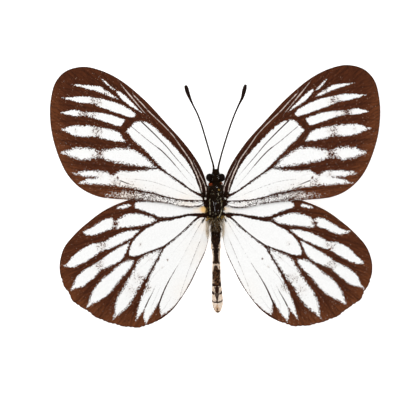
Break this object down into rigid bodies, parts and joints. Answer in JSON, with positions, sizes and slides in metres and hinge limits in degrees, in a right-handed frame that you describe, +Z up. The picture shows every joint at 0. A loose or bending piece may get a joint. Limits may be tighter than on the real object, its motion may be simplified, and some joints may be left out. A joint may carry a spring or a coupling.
{
  "type": "spread butterfly specimen",
  "caption": "Dried spread butterfly specimen: hairy body, clubbed antennae, coiled tongue, folded legs and broad white wings with dark brown borders and veins.",
  "frame": {"origin": "under the middle of the thorax, on the small flat of the belly that rests on a board or a table", "axes": "+Y towards the head, +X towards the right wings, +Z up out of the back"},
  "size_m": [0.0826, 0.0655, 0.0068],
  "materials": {
    "wing_scales": "matt white and dark brown scales on a thin dry membrane",
    "body_chitin": "dark, dry and covered with short hair",
    "abdomen_chitin": "dark scales above, cream scales along the sides and below",
    "eye_lens": "dark and slightly shiny",
    "limb_chitin": "dark brown, finely scaled"
  },
  "bodies": {
    "root": {"thorax": "body_chitin", "head": "body_chitin", "abdomen": "abdomen_chitin", "eye_left": "eye_lens", "eye_right": "eye_lens", "palp_left": "limb_chitin", "palp_right": "limb_chitin", "proboscis": "limb_chitin", "antenna_left": "limb_chitin", "antenna_right": "limb_chitin", "leg_front_left": "limb_chitin", "leg_front_right": "limb_chitin", "leg_middle_left": "limb_chitin", "leg_middle_right": "limb_chitin", "leg_hind_left": "limb_chitin", "leg_hind_right": "limb_chitin", "forewing_left": "wing_scales", "forewing_right": "wing_scales", "hindwing_left": "wing_scales", "hindwing_right": "wing_scales"}
  },
  "joints": []
}
